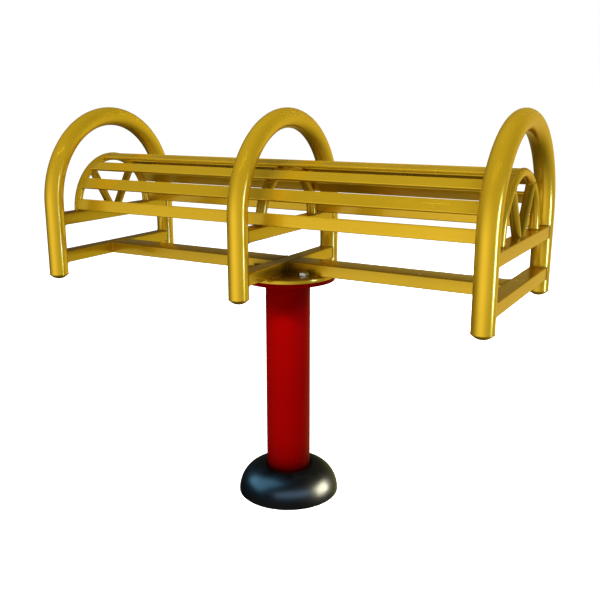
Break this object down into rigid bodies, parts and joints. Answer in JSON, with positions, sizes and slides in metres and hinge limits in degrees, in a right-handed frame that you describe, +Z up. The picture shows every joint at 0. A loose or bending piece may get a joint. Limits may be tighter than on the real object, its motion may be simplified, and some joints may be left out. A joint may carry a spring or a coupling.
{
  "type": "merry go round",
  "caption": "Slatted barrel bench with hand hoops, bolted to a flange that turns in bearings on top of a single post with a domed base cover.",
  "frame": {"origin": "centre of the post at ground level, on the underside of the base plate and of the base cover", "axes": "+Z up along the post and the turning axis, +X along the bench towards the right hoop, +Y across the bench, away from the side the bench is usually seen from"},
  "size_m": [1.2002, 0.4924, 1.0011],
  "materials": {
    "yellow_paint": "gloss powder coat, golden yellow",
    "red_paint": "gloss powder coat, deep red",
    "cover_plastic": "moulded, gloss black",
    "shaft_steel": "turned steel, oiled",
    "bearing_steel": "ground bearing steel",
    "cage_nylon": "moulded nylon",
    "seal_rubber": "matt black",
    "bolt_zinc": "bright zinc plate"
  },
  "bodies": {
    "post": {"base_plate": "red_paint", "base_gussets": "red_paint", "base_cover": "cover_plastic", "column_tube": "red_paint", "bearing_housing": "shaft_steel", "lower_outer_race": "bearing_steel", "lower_bearing_balls": "bearing_steel", "lower_ball_cage": "cage_nylon", "upper_outer_race": "bearing_steel", "upper_bearing_balls": "bearing_steel", "upper_ball_cage": "cage_nylon", "bearing_shields": "seal_rubber", "dust_seal": "seal_rubber"},
    "carousel": {"spindle": "shaft_steel", "lower_inner_race": "bearing_steel", "inner_race_spacer": "shaft_steel", "upper_inner_race": "bearing_steel", "lock_washer": "shaft_steel", "lock_nut": "shaft_steel", "turning_flange": "red_paint", "turntable_plate": "yellow_paint", "flange_bolts": "bolt_zinc", "bolt_washers": "bolt_zinc", "left_spine_rail": "yellow_paint", "right_spine_rail": "yellow_paint", "left_lower_rail": "yellow_paint", "middle_lower_rail": "yellow_paint", "right_lower_rail": "yellow_paint", "left_upper_rail": "yellow_paint", "middle_upper_rail": "yellow_paint", "right_upper_rail": "yellow_paint", "left_hoop": "yellow_paint", "middle_hoop": "yellow_paint", "right_hoop": "yellow_paint", "left_hoop_caps": "yellow_paint", "middle_hoop_caps": "yellow_paint", "right_hoop_caps": "yellow_paint", "left_arch": "yellow_paint", "middle_arch": "yellow_paint", "right_arch": "yellow_paint", "left_v_brace": "yellow_paint", "right_v_brace": "yellow_paint", "slat_1": "yellow_paint", "slat_2": "yellow_paint", "slat_3": "yellow_paint", "slat_4": "yellow_paint", "slat_5": "yellow_paint", "slat_6": "yellow_paint", "slat_7": "yellow_paint", "slat_8": "yellow_paint"}
  },
  "joints": [
    {"name": "carousel_turn", "type": "hinge", "parent": "post", "child": "carousel", "pos_m": [0, 0, 0.577], "axis": [0, 0, 1], "continuous": true}
  ]
}
